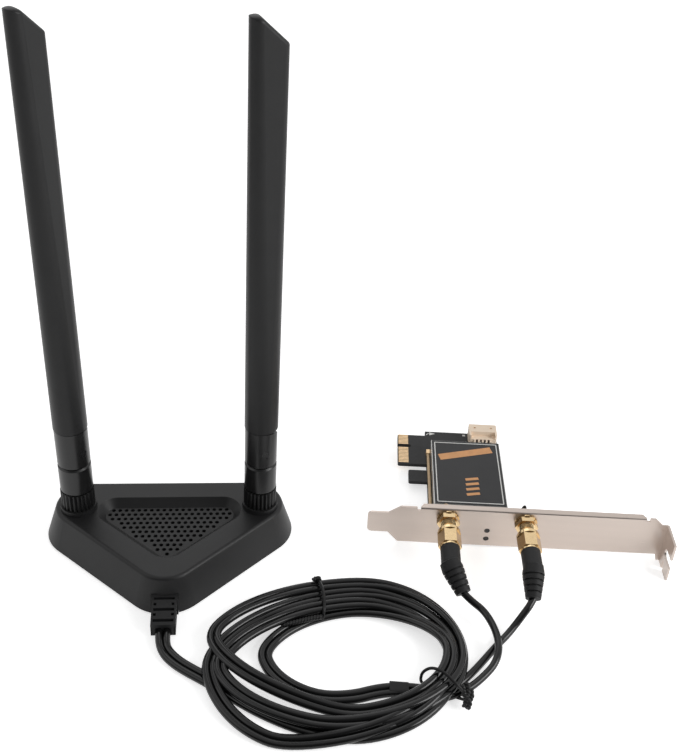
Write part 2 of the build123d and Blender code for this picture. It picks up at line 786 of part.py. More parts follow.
# Indicator lamps behind the bracket, and the screws that hold the board to its ears
with BuildPart() as lamps:
    with BuildSketch(Plane.XZ):
        with Locations((lamp_across, lamp_low), (lamp_across, lamp_low + lamp_pitch)):
            Circle(lamp_hole / 2 - board_gap)
    extrude(amount=-sheet)
    with BuildSketch(Plane.XZ.offset(-sheet)):
        with Locations((lamp_across, board_top + (lamp_low + lamp_pitch - board_top) / 2 + lamp_hole / 4)):
            Rectangle(lamp_hole, lamp_low + lamp_pitch + lamp_hole / 2 - board_top)
    extrude(amount=-lamp_hole)

with BuildPart() as board_screws:
    for across in (ear_left, ear_right):
        with Locations((across, sheet + ear_depth / 2, board_low)):
            Cylinder(ear_screw_radius - board_gap, board_thickness + sheet,
                     align=(Align.CENTER, Align.CENTER, Align.MIN))
        with Locations((across, sheet + ear_depth / 2, board_top + sheet)):
            Cylinder(2 * ear_screw_radius, ear_screw_radius, align=(Align.CENTER, Align.CENTER, Align.MIN))

# Where the card lies: on the lower shoulder, the tab's corner and the header's tails
first_pin = header_across - header_pitch * (header_pins_count - 1) / 2
rest_left = Vector(lower_shoulder, 0, 0)
rest_right = Vector(tab_start + tab_step + sheet, 0, -tab_drop)
rest_back = Vector(first_pin - header_pin / 2, header_row - header_pin / 2, board_low - header_tail)
rest_normal = (rest_right - rest_left).cross(rest_back - rest_left)
rest_plane = Plane(origin=rest_left, x_dir=rest_right - rest_left, z_dir=rest_normal)
card_place = Location((card_across, card_along, 0)) * rest_plane.location.inverse()

card_parts = {
    "bracket": bracket, "carrier_board": carrier_board, "edge_contacts": edge_contacts,
    "module_socket": module_socket, "module_board": module_board, "shield_can": shield_can,
    "module_post": module_post, "module_screw": module_screw, "thermal_pad": thermal_pad,
    "heat_cover": heat_cover, "cover_film": cover_film, "header_housing": header_housing,
    "header_pins": header_pins, "lamps": lamps, "board_screws": board_screws,
}
for name, builder in card_parts.items():
    keep(name, builder.part, card_place)

# Jacks, their washers and nuts, and the plugs of the leads
nut_start = washer_thickness
plug_start = nut_start + nut_thickness + nut_clear
plug_end = plug_start + plug_nut_length
boot_start = plug_end + ferrule_length
boot_bend = boot_start + boot_sleeve
lead_starts = {}
for side, across, sway in (
    ("left", left_jack_across, left_sway),
    ("right", right_jack_across, right_sway),
):
    front = Plane(origin=(across, 0, jack_level), x_dir=(1, 0, 0), z_dir=(0, -1, 0))
    with BuildPart() as bulkhead_jack:
        with BuildSketch(front.offset(-sheet)):
            Circle(barrel_radius)
        extrude(amount=sheet + barrel_reach)
        with BuildSketch(front.offset(-sheet - bulkhead_hex_depth)):
            RegularPolygon(bulkhead_hex / 2, 6, major_radius=False)
        extrude(amount=bulkhead_hex_depth)
        with BuildSketch(front.offset(-sheet - bulkhead_hex_depth - crimp_length)):
            Circle(crimp_radius)
        extrude(amount=crimp_length)
    keep(f"{side}_jack", bulkhead_jack.part, card_place)

    with BuildPart() as lock_washer:
        with BuildSketch(front):
            Circle(washer_radius)
            with PolarLocations(washer_radius, washer_teeth):
                Rectangle(washer_tooth, washer_tooth, mode=Mode.SUBTRACT)
            Circle(barrel_radius + barrel_gap, mode=Mode.SUBTRACT)
        extrude(amount=washer_thickness)
    keep(f"{side}_lock_washer", lock_washer.part, card_place)

    with BuildPart() as jack_nut:
        with BuildSketch(front.offset(nut_start)):
            RegularPolygon(nut_hex / 2, 6, major_radius=False)
            Circle(barrel_radius + barrel_gap, mode=Mode.SUBTRACT)
        extrude(amount=nut_thickness)
    keep(f"{side}_jack_nut", jack_nut.part, card_place)

    with BuildPart() as plug_nut:
        with BuildSketch(front.offset(plug_start)):
            Circle(plug_collar_radius)
        extrude(amount=plug_collar)
        with BuildSketch(front.offset(plug_start)):
            RegularPolygon(plug_hex / 2, 6, major_radius=False)
        extrude(amount=plug_nut_length)
        with BuildSketch(front.offset(plug_start)):
            Circle(barrel_radius + barrel_gap)
        extrude(amount=plug_nut_length - plug_end_wall, mode=Mode.SUBTRACT)
        with BuildSketch(front.offset(plug_start)):
            Circle(core_radius + barrel_gap)
        extrude(amount=plug_nut_length, mode=Mode.SUBTRACT)
    keep(f"{side}_plug_nut", plug_nut.part, card_place, on_cord=True)

    with BuildPart() as plug_core:
        with BuildSketch(front.offset(barrel_reach)):
            Circle(core_radius)
        extrude(amount=boot_start + core_reach - barrel_reach)
        with BuildSketch(front.offset(plug_end)):
            Circle(ferrule_radius)
        extrude(amount=ferrule_length)
    keep(f"{side}_plug_core", plug_core.part, card_place, on_cord=True)

    bend = front.offset(boot_bend)
    boot_aim = Vector(sin(radians(sway)), -cos(radians(sway)), -tan(radians(boot_droop))).normalized()
    boot_plane = Plane(origin=bend.origin, z_dir=boot_aim)
    with BuildPart() as cable_boot:
        with BuildSketch(front.offset(boot_start)):
            Circle(boot_radius)
        extrude(amount=boot_sleeve)
        with BuildSketch(front.offset(boot_start)):
            Circle(core_radius)
        extrude(amount=core_reach, mode=Mode.SUBTRACT)
        rib_pitch = boot_length / (boot_ribs + 1)
        with BuildSketch(Plane(origin=bend.origin, x_dir=boot_plane.x_dir, z_dir=-boot_plane.y_dir)):
            with BuildLine():
                Polyline(
                    (0, -boot_radius), (boot_radius, -boot_radius / 2), (boot_rib_radius, rib_pitch / 2),
                    (boot_rib_radius, rib_pitch), (boot_tip_radius, boot_length), (0, boot_length),
                    close=True,
                )
            make_face()
            for rib in range(boot_ribs):
                groove_y = rib_pitch * (rib + 1)
                groove_x = boot_rib_radius - (boot_rib_radius - boot_tip_radius) * rib / boot_ribs
                with Locations((groove_x, groove_y)):
                    Rectangle(2 * boot_groove, boot_groove, mode=Mode.SUBTRACT)
        revolve(axis=Axis(bend.origin, boot_aim))
    keep(f"{side}_boot", cable_boot.part, card_place, on_cord=True)
    boot_tip = bend.origin + boot_aim * boot_length
    tip_location = card_place * Location(boot_tip)
    aim_location = card_place * Location(boot_tip + boot_aim)
    lead_starts[side] = (tip_location.position, aim_location.position - tip_location.position)

# Pigtails from a solder terminal on the board to the jack's crimp: a long one beside the cover
# and a short one in front of it
crimp_end = sheet + bulkhead_hex_depth + crimp_length
long_across = board_left + pigtail_inset
long_level = board_top + terminal_height / 2
short_level = board_top + terminal_height
pigtail_points = {
    "left": [
        Vector(long_across, pigtail_start, long_level),
        Vector(long_across, cover_near, long_level),
        Vector(long_across + (left_jack_across - long_across) / 4, cover_near - pigtail_turn,
               (long_level + jack_level) / 2),
        Vector(left_jack_across, crimp_end + pigtail_turn, jack_level),
        Vector(left_jack_across, crimp_end, jack_level),
    ],
    "right": [
        Vector(short_pigtail_across, short_pigtail_along, short_level),
        Vector(short_pigtail_across, short_pigtail_along, short_level + short_pigtail_rise),
        Vector(short_pigtail_across + short_pigtail_arch, short_pigtail_along, jack_level),
        Vector(right_jack_across, crimp_end + pigtail_turn, jack_level),
        Vector(right_jack_across, crimp_end, jack_level),
    ],
}
for side, terminal_across, terminal_along in (
    ("left", long_across, pigtail_start + terminal_length / 2),
    ("right", short_pigtail_across, short_pigtail_along),
):
    with BuildPart() as terminal:
        with Locations((terminal_across, terminal_along, board_top)):
            Box(terminal_width, terminal_length, terminal_height,
                align=(Align.CENTER, Align.CENTER, Align.MIN))
    keep(f"{side}_terminal", terminal.part, card_place)
    points = pigtail_points[side]
    with BuildPart() as pigtail:
        with BuildLine():
            FilletPolyline(*points, radius=pigtail_bend)
        with BuildSketch(Plane(origin=points[0], z_dir=points[1] - points[0])):
            Circle(pigtail_radius)
        sweep()
    keep(f"{side}_pigtail", pigtail.part, card_place)


def lead_radii(points):
    """Largest arc that fits each corner of a route."""
    radii = []
    for before, corner, after in zip(points, points[1:], points[2:]):
        arriving = corner - before
        leaving = after - corner
        turn = radians(arriving.get_angle(leaving))
        radii.append(lead_corner_share * min(arriving.length, leaving.length) / tan(turn / 2))
    return radii


def lead_tube(points):
    """Round tube along straight runs joined by tangent arcs."""
    radii = lead_radii(points)
    with BuildPart() as tube:
        with BuildLine() as route:
            FilletPolyline(*points, radius=radii)
        with BuildSketch(Plane(origin=points[0], z_dir=points[1] - points[0])):
            Circle(lead_radius)
        sweep()
    expected = route.wires()[0].length * pi * lead_radius**2
    ratio = tube.part.volume / expected
    print("radii", [round(radius, 1) for radius in radii], "volume ratio", round(ratio, 4))
    return tube.part


# Leads that lie on the table between the pieces and the coil
lead_routes = {
    "left_base_lead": [(7.3, -62.6, 1.6), (12.0, -67.4, 1.4), (18.4, -71.2, 1.4), (25.2, -74.2, 1.4)],
    "right_base_lead": [(10.9, -62.0, 1.6), (15.4, -65.2, 1.4), (19.8, -67.4, 1.4), (24.4, -69.2, 1.4)],
    "left_plug_lead": [
        (120.6, -38.4, 4.6), (124.4, -43.2, 4.6), (127.0, -48.2, 5.4), (127.3, -53.6, 5.0),
        (125.6, -58.6, 3.6), (121.6, -63.4, 2.7), (116.6, -67.8, 2.4), (110.6, -71.6, 2.4),
    ],
    "right_plug_lead": [
        (139.9, -40.0, 4.2), (136.6, -43.4, 2.0), (131.4, -45.8, 1.4), (126.2, -49.9, 1.4),
        (121.6, -55.6, 1.5), (117.2, -62.0, 2.0), (112.0, -67.4, 2.2),
    ],
}
for side, hand in (("left", -1), ("right", 1)):
    mouth = Vector(hand * lead_pair / 2, lead_mouth, lead_mouth_level)
    out = Vector(0, -lead_exit, 0)
    route = [(base_place * Location(point)).position for point in (mouth, mouth + out)]
    route += [Vector(*point) for point in lead_routes[f"{side}_base_lead"]]
    keep(f"{side}_base_lead", lead_tube(route), Location(), on_cord=True)
    start, aim = lead_starts[side]
    route = [start, start + aim * lead_exit] + [Vector(*point) for point in lead_routes[f"{side}_plug_lead"]]
    keep(f"{side}_plug_lead", lead_tube(route), Location(), on_cord=True)

# Coil of the leads, its two twist ties and the sleeve where the pair divides
with BuildPart() as cable_coil:
    with BuildSketch(Plane.XY.offset(coil_low)):
        with Locations((coil_across, coil_along)):
            RectangleRounded(coil_width, coil_depth, coil_corner)
        with Locations((coil_across + coil_hole_shift, coil_along + coil_hole_lift)):
            RectangleRounded(coil_hole_width, coil_hole_depth, coil_hole_corner, mode=Mode.SUBTRACT)
    extrude(amount=coil_height)
    chamfer(cable_coil.edges().filter_by(Plane.XY), coil_bevel)
keep("cable_coil", cable_coil.part, Location(), on_cord=True)

for name, across, along, span, turn in (
    ("back_tie", back_tie_across, back_tie_along, back_tie_span, 90),
    ("front_tie", front_tie_across, front_tie_along, front_tie_span, front_tie_turn),
):
    with BuildPart() as tie:
        with BuildSketch(Plane.XZ):
            with Locations((0, coil_low + coil_height / 2)):
                Rectangle(span + 2 * tie_thickness, coil_height + 2 * (tie_gap + tie_thickness))
                Rectangle(span, coil_height + 2 * tie_gap, mode=Mode.SUBTRACT)
        extrude(amount=tie_width / 2, both=True)
    keep(name, tie.part, Location((across, along, 0), (0, 0, turn)), on_cord=True)

split_along = coil_along + coil_hole_lift - coil_hole_depth / 2 + split_width / 2 + split_clear
with BuildPart() as split_sleeve:
    with BuildSketch(Plane.YZ.offset(split_across)):
        with Locations((split_along, split_height / 2)):
            RectangleRounded(split_width, split_height, split_height / 2 - tie_gap)
    extrude(amount=split_length / 2, both=True)
keep("split_sleeve", split_sleeve.part, Location(), on_cord=True)

# The origin is the bottom centre of the box round every piece that is not on a lead
boxes = [piece.bounding_box() for name, piece in pieces.items() if name not in cord_pieces]
middle_x = (min(box.min.X for box in boxes) + max(box.max.X for box in boxes)) / 2
middle_y = (min(box.min.Y for box in boxes) + max(box.max.Y for box in boxes)) / 2
floor = min(box.min.Z for box in boxes)
origin_shift = Location((-middle_x, -middle_y, -floor))
print("origin shift", round(-middle_x, 4), round(-middle_y, 4), round(-floor, 4))

os.makedirs("parts", exist_ok=True)
for name, piece in pieces.items():
    finished = origin_shift * piece
    finished.label = name
    export_step(finished, f"parts/{name}.step")
print(len(pieces), "pieces")
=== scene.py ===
"""Looks of the wireless card, its two leads and the antenna base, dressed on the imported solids."""

import json
from math import cos, pi, radians, sin

import bpy
from mathutils import Matrix, Vector


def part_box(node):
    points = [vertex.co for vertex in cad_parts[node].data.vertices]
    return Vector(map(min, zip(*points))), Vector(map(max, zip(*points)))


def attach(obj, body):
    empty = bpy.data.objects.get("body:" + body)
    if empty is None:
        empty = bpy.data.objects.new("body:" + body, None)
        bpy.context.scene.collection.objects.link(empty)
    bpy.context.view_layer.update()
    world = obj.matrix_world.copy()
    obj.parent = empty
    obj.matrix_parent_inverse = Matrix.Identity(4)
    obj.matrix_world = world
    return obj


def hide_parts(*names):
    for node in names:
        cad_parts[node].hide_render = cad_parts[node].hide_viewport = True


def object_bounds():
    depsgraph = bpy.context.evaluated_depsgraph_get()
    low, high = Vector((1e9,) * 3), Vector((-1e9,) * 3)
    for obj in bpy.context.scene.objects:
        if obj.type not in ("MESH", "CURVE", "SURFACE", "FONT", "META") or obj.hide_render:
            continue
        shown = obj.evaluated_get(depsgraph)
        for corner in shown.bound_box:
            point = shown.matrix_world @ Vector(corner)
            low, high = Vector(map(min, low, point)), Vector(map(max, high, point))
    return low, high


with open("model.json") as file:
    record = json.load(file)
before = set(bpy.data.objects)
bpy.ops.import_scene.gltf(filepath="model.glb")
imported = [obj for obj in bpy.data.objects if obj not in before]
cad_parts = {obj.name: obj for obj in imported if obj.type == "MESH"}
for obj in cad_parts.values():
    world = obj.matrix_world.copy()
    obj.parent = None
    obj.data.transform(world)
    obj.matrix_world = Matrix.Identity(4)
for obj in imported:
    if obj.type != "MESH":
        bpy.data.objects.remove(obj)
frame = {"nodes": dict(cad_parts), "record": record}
cad_low, cad_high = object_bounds()

MM = 0.001
UP = Vector((0, 0, 1))
BODY = "base_and_card"

# Camera, from the photograph's perspective: pixels, degrees, and millimetres in the layout
IMAGE_HEIGHT = 754
FOCAL_PIXELS = 1010.18
SENSOR_HEIGHT = 24.0
CAMERA_PLACE = (63.26, -298.74, 285.585)
CAMERA_PITCH = 34.336
CAMERA_ROLL = 4.195

# Sizes repeated from the part, in millimetres
LEAD_RADIUS = 1.375
HEADER_SOCKET = (51.1, 68.1, 7.05)
HEADER_NEAR = 60.1
JACK_LEVEL = 13.2
JACKS_ACROSS = {"left": 32.1, "right": 63.1}
BARREL_RADIUS = 3.1
FILM_NEAR = 12.3
FILM_BACK = 54.0
FILM_LEFT = 27.6
FILM_RIGHT = 57.1
FILM_TOP = 10.6
BOARD_TOP = 4.0
BASE_FRONT = 44.4

# Leads: half the spacing of the pair, whose soft jackets touch, in millimetres
TWIN_HALF = 1.34
STEPS_PER_QUARTER = 4
# How straight each quarter of a turn of the coil runs, from 0 for a round one to 1
QUARTER_FLATNESS = (0.0, 0.0, 0.3, 0.2)
SPLINE_ORDER = 3

# Wire ties, in millimetres
TIE_RADIUS = 0.55
TWISTS_PER_MM = 0.45
TWIST_STEPS = 8

# Film: a thin border line, one wide bar and a stack of short bars, in the card's x and y in millimetres
BORDER_INSET = 1.2
BORDER_WIDTH = 0.42
MARK_HEIGHT = 0.03
WIDE_BAR = ((30.5, 42.5), (53.5, 49.0))
WIDE_BAR_WIDTH = 4.0
SHORT_BARS = 4
SHORT_BAR = ((41.0, 18.5), (46.5, 19.6))
SHORT_BAR_PITCH = 3.2
SHORT_BAR_WIDTH = 1.5

# Board marks behind the cover: a triangle, a stroke beside it and a small pad
BOARD_TRIANGLE = [(27.4, 66.2), (30.0, 67.4), (27.4, 68.4)]
BOARD_STROKE = ((26.0, 66.4), (27.0, 67.6))
BOARD_STROKE_WIDTH = 0.4
BOARD_PAD = ((42.6, 67.2), (43.8, 67.2))
BOARD_PAD_WIDTH = 1.1

# Screw threads that show between the jack nuts and the coupling nuts
BARREL_START = 3.1
BARREL_SHOWN = 4.7
THREAD_PITCH = 0.7055
THREAD_DEPTH = 0.32
THREAD_ROOT = 0.1
THREAD_FLANK = 0.45
THREAD_STEPS = 40
RIDGE_CORNERS = 3

# Short pigtail behind the bracket, from its solder terminal to the jack's crimp, in the card's frame
PIGTAIL_RADIUS = 0.65
PIGTAIL_ROUTE = [
    (56.9, 10.3, 5.7), (57.2, 9.8, 8.0), (59.6, 8.2, 10.4), (62.2, 7.0, 13.4), (63.0, 6.9, 15.9),
    (63.3, 6.7, 15.5), (63.1, 5.86, 13.2),
]

# Teeth at the foot of the header's face, with slots between them whose dark brown is painted shade standing
# in for the cavities behind the teeth
TEETH = 5
TOOTH_PITCH = 1.75
TOOTH_WIDTH = 0.8
TOOTH_TOP = 7.9
TOOTH_SHOULDER = 7.0
TOOTH_PROUD = 0.6
SLOT_TOP = 7.7
SLOT_SHOULDER = 7.5
SLOT_PROUD = 0.1
FACE_SUNK = 0.1

# Strain relief, out from the shell's front: a core with cheeks and rungs, and a mouth for the leads
RELIEF_BACK = -8.4
RELIEF_TIP = 9.7
RELIEF_TOP = 8.0
RELIEF_TIP_TOP = 5.8
RELIEF_LOW = 0.4
RELIEF_HALF = 4.95
RELIEF_TIP_HALF = 4.45
RELIEF_CHEEK = 0.7
GROOVE_DEPTH = 1.3
MOUTH_HALF = 3.0
MOUTH_TOP = 4.3
MOUTH_LOW = 1.1
MOUTH_BACK = 9.3
RUNGS = ((RELIEF_BACK, -1.5), (-0.4, 0.9), (1.9, 3.0), (4.1, 5.0), (6.0, 7.3), (8.4, RELIEF_TIP))
BRIDGES = ((0.9, 1.9), (5.0, 6.0))
BRIDGE_HALF = 2.7

# Floor, studio and lamps, in metres and watts
FLOOR_REACH = 3.0
FLOOR_GAP = 0.0002
FLOOR_GREY = 0.86
FLOOR_ROUGHNESS = 0.9
FLOOR_GLOW = 0.6
STUDIO_LIGHT = 0.4
STUDIO_FRONT_LIGHT = 0.12
STUDIO_FRONT_FROM = -0.7
STUDIO_FRONT_TO = -0.05
LAMP_AIM = (0.0, 0.0, 0.05)
# Place, width and power of each lamp
LAMPS = {
    "key": ((0.9, -0.35, 0.55), 0.6, 7.5),
    "fill": ((-0.8, -0.3, 0.7), 0.8, 1.4),
    "back": ((-0.3, 0.8, 1.0), 0.8, 1.6),
}

record = frame["record"]
scene = bpy.context.scene


def node_middle(name):
    """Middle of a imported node's box, in metres."""
    low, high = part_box(name)
    return (low + high) / 2


# The layout's origin lies on the table midway between the two antennas
layout_origin = (node_middle("left_sleeve") + node_middle("right_sleeve")) / 2
layout_origin.z = 0.0
base_across = (node_middle("right_sleeve") - node_middle("left_sleeve")).normalized()
base_ahead = Vector((base_across.y, -base_across.x, 0))

mounts = {mount["name"]: mount for mount in record["mounts"]}
card_x = -Vector(mounts["edge_connector"]["axis"]).normalized()
card_y = Vector(mounts["header_socket"]["axis"]).normalized()
card_z = card_x.cross(card_y).normalized()
card_axes = Matrix((card_x, card_y, card_z)).transposed()
card_origin = Vector(mounts["header_socket"]["pos_m"]) - card_axes @ (Vector(HEADER_SOCKET) * MM)


def layout(point):
    """A point of the layout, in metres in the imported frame."""
    return layout_origin + Vector(point) * MM


def card(point):
    """A point of the card's own frame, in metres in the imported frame."""
    return card_origin + card_axes @ (Vector(point) * MM)


def relief_place(point):
    """A point of the relief, across, out from the shell's front and up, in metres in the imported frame."""
    across, out, up = point
    return layout_origin + (base_across * across + base_ahead * (BASE_FRONT + out) + UP * up) * MM


# Camera
pitch = radians(CAMERA_PITCH)
roll = radians(CAMERA_ROLL)
view_right = Vector((1, 0, 0))
view_down = Vector((0, -sin(pitch), -cos(pitch)))
view_ahead = Vector((0, cos(pitch), -sin(pitch)))
camera_x = cos(roll) * view_right - sin(roll) * view_down
camera_y = -(sin(roll) * view_right + cos(roll) * view_down)
camera_data = bpy.data.cameras.new("camera")
camera_data.sensor_fit = "VERTICAL"
camera_data.sensor_height = SENSOR_HEIGHT
camera_data.lens = FOCAL_PIXELS / IMAGE_HEIGHT * SENSOR_HEIGHT
camera = bpy.data.objects.new("camera", camera_data)
scene.collection.objects.link(camera)
camera_turn = Matrix((camera_x, camera_y, -view_ahead)).transposed().to_4x4()
camera.matrix_world = Matrix.Translation(layout(CAMERA_PLACE)) @ camera_turn
scene.camera = camera
scene.view_settings.view_transform = "Standard"


def add_node(tree, kind, **settings):
    """New shader node with some of its settings and sockets given."""
    node = tree.nodes.new(kind)
    for key, value in settings.items():
        if key in node.inputs:
            node.inputs[key].default_value = value
        else:
            setattr(node, key, value)
    return node


def finish_material(name, colour, roughness, metallic=0.0, grain=0.4, depth=0.02, tint=0.12, spread=0.06,
                    patch=9.0, stretch=(1, 1, 1), **sockets):
    """Material with a fine grain in its surface and broad patches in its colour; lengths in millimetres."""
    made = bpy.data.materials.new(name)
    made.use_nodes = True
    tree = made.node_tree
    join = tree.links.new
    shader = tree.nodes["Principled BSDF"]
    shader.inputs["Metallic"].default_value = metallic
    for socket, value in sockets.items():
        shader.inputs[socket].default_value = value
    place = add_node(tree, "ShaderNodeTexCoord")
    mapping = add_node(tree, "ShaderNodeMapping", Scale=stretch)
    join(place.outputs["Object"], mapping.inputs["Vector"])
    fine = add_node(tree, "ShaderNodeTexNoise", Scale=1.0 / (grain * MM), Detail=3.0, Roughness=0.55)
    broad = add_node(tree, "ShaderNodeTexNoise", Scale=1.0 / (patch * MM), Detail=4.0, Roughness=0.6)
    join(mapping.outputs["Vector"], fine.inputs["Vector"])
    join(mapping.outputs["Vector"], broad.inputs["Vector"])
    ramp = add_node(tree, "ShaderNodeValToRGB")
    dark, light = ramp.color_ramp.elements
    dark.position = 0.3
    dark.color = [*(channel * (1 - tint) for channel in colour), 1]
    light.position = 0.7
    light.color = [*(min(1.0, channel * (1 + tint)) for channel in colour), 1]
    join(broad.outputs["Fac"], ramp.inputs["Fac"])
    join(ramp.outputs["Color"], shader.inputs["Base Color"])
    gloss = add_node(tree, "ShaderNodeMapRange")
    gloss.inputs["To Min"].default_value = max(0.02, roughness - spread)
    gloss.inputs["To Max"].default_value = min(1.0, roughness + spread)
    join(fine.outputs["Fac"], gloss.inputs["Value"])
    join(gloss.outputs["Result"], shader.inputs["Roughness"])
    bump = add_node(tree, "ShaderNodeBump", Strength=1.0, Distance=depth * MM)
    join(fine.outputs["Fac"], bump.inputs["Height"])
    join(bump.outputs["Normal"], shader.inputs["Normal"])
    return made


def black_finish(name, level, specular=0.25, **looks):
    """Black moulding or jacket, a little cooler than grey: how dark it is and how strongly it reflects."""
    looks["Specular IOR Level"] = specular
    return finish_material(name, (level, level, level * 1.04), **looks)


# Blacks of the mouldings, the jackets and the boards
black_looks = {
    "black_plastic": dict(level=0.01, roughness=0.44, grain=0.45, depth=0.01, specular=0.28),
    "blade_black": dict(level=0.01, roughness=0.4, grain=0.4, depth=0.006),
    "black_pin": dict(level=0.012, roughness=0.22, grain=0.3, depth=0.004, specular=0.4),
    "grille_black": dict(level=0.014, roughness=0.46, grain=0.4, depth=0.008),
    "black_rubber": dict(level=0.011, roughness=0.58, grain=0.5, depth=0.02),
    "socket_black": dict(level=0.014, roughness=0.5, grain=0.4, depth=0.01),
    "lead_jacket": dict(level=0.005, roughness=0.15, grain=1.2, depth=0.001, specular=0.32, spread=0.03),
    "tie_black": dict(level=0.008, roughness=0.35, grain=0.6, depth=0.01),
    "lamp_clear": dict(level=0.02, roughness=0.16, grain=0.6, depth=0.004, specular=0.4),
    "board_black": dict(
        level=0.02, roughness=0.36, grain=0.7, depth=0.006, specular=0.2, tint=0.2, patch=1.6,
    ),
    "film_grey": dict(level=0.034, roughness=0.42, grain=0.5, depth=0.004, specular=0.2, tint=0.06),
    "knuckle_black": dict(level=0.007, roughness=0.3, grain=0.4, depth=0.003, specular=0.4),
    "collar_black": dict(level=0.007, roughness=0.4, grain=0.4, depth=0.006),
}
metal_looks = {
    "zinc_steel": dict(colour=(0.55, 0.56, 0.57), roughness=0.38, grain=0.6, depth=0.004, patch=4.0),
    "bracket_nickel": dict(
        colour=(0.52, 0.45, 0.405), roughness=0.3, grain=0.25, depth=0.003, tint=0.05, patch=14.0,
        stretch=(0.04, 1, 1),
    ),
    "gold_plate": dict(
        colour=(0.72, 0.535, 0.305), roughness=0.18, grain=0.35, depth=0.002, tint=0.06, patch=2.0,
    ),
    "edge_gold": dict(colour=(0.74, 0.54, 0.33), roughness=0.45, grain=0.3, depth=0.004, patch=1.5),
    "tin_pins": dict(colour=(0.7, 0.7, 0.68), roughness=0.26, grain=0.3, depth=0.004, patch=1.5),
    "shield_tin": dict(colour=(0.62, 0.62, 0.61), roughness=0.34, grain=0.5, depth=0.004, patch=3.0),
    "cover_aluminium": dict(
        colour=(0.5, 0.5, 0.49), roughness=0.36, grain=0.3, depth=0.004, patch=6.0, stretch=(1, 0.05, 1),
    ),
}
coloured_looks = {
    "pad_grey": dict(colour=(0.34, 0.36, 0.4), roughness=0.7, grain=0.6, depth=0.02),
    "header_cream": dict(colour=(0.84, 0.69, 0.54), roughness=0.45, grain=0.5, depth=0.008, tint=0.05),
    "pigtail_amber": dict(colour=(0.6, 0.42, 0.23), roughness=0.3, grain=0.5, depth=0.006, patch=3.0),
    "mark_white": dict(
        colour=(0.72, 0.72, 0.7), roughness=0.55, grain=0.3, depth=0.004, tint=0.05, patch=1.0,
    ),
    "mark_copper": dict(
        colour=(0.62, 0.3, 0.12), roughness=0.42, grain=0.4, depth=0.004, tint=0.1, patch=2.5,
    ),
    # Dark brown painted into the header's slots as the shade of their cavities, not the colour of the housing
    "painted_slot_shade": dict(colour=(0.09, 0.06, 0.045), roughness=0.6, grain=0.3, depth=0.006, patch=1.0),
}
finishes = {name: black_finish(name, **looks) for name, looks in black_looks.items()}
finishes |= {name: finish_material(name, metallic=1.0, **looks) for name, looks in metal_looks.items()}
finishes |= {name: finish_material(name, **looks) for name, looks in coloured_looks.items()}

# The edge contacts' thin gold is duller than the jacks', and the antennas' feet are darker mouldings
node_finishes = {"edge_contacts": "edge_gold"}
for side in ("left", "right"):
    node_finishes[side + "_terminal"] = "edge_gold"
    node_finishes[side + "_sleeve"] = "knuckle_black"
    node_finishes[side + "_fork"] = "knuckle_black"
    node_finishes[side + "_collar"] = "collar_black"
for subpart in record["subparts"]:
    node = subpart["node"]
    holder = frame["nodes"][node].data
    holder.materials.clear()
    holder.materials.append(finishes[node_finishes.get(node, subpart["material_slot"])])


def add_piece(name, data, slot, finish=None):
    """Link a new piece, give it a finish, the slot's own unless one is named, and let it ride on the base."""
    piece = bpy.data.objects.new(name, data)
    scene.collection.objects.link(piece)
    data.materials.append(finishes[finish or slot])
    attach(piece, BODY)
    return piece


def curve_data(name, lines, thickness):
    """Round-section curve with one smooth open spline for each list of points, in metres."""
    curve = bpy.data.curves.new(name, "CURVE")
    curve.dimensions = "3D"
    curve.bevel_depth = thickness
    curve.bevel_resolution = 5
    curve.resolution_u = 6
    curve.use_fill_caps = True
    for points in lines:
        spline = curve.splines.new("NURBS")
        spline.points.add(len(points) - 1)
        for control, point in zip(spline.points, points):
            control.co = (*point, 1.0)
        spline.order_u = SPLINE_ORDER
        spline.use_endpoint_u = True
    return curve


# The pair of leads: from the base, round the coil, through the split sleeve
pair_start = [
    (9.2, -62.3, 1.6), (13.7, -66.2, 1.4), (19.2, -69.4, 1.4), (25.6, -72.6, 1.4), (34.0, -77.6, 1.4),
    (46.0, -84.2, 1.4), (60.0, -89.4, 1.4),
]
# Lowest, rightmost, furthest and leftmost point of each turn: place, share on edge, and hump to the next one
coil_stations = [
    ((76.0, -91.8, 1.4), 0.0, 2.8), ((112.5, -55.0, 3.2), 0.8, 0.0),
    ((78.0, -27.4, 2.3), 0.0, 0.0), ((24.4, -66.0, 3.9), 0.0, 0.0),
    ((53.5, -95.9, 1.4), 0.0, 2.8), ((109.8, -57.0, 3.2), 0.8, 0.0),
    ((78.0, -33.6, 3.6), 0.0, 0.0), ((28.0, -67.6, 4.4), 0.0, 0.0),
    ((68.0, -89.0, 3.8), 0.0, 2.4), ((115.3, -55.0, 3.2), 0.8, 0.0),
    ((80.0, -22.2, 2.3), 0.0, 0.0), ((23.6, -54.6, 4.4), 0.2, 2.6),
    ((74.0, -82.4, 1.5), 0.0, 1.4), ((109.8, -57.0, 7.2), 0.2, 0.0),
    ((76.0, -36.2, 2.0), 0.0, 0.0), ((43.2, -59.0, 1.4), 0.0, 0.0),
    ((66.0, -76.6, 1.4), 0.0, 0.0),
]
pair_end = [(76.0, -75.4, 1.5), (84.0, -72.2, 1.6), (91.4, -70.8, 1.6)]

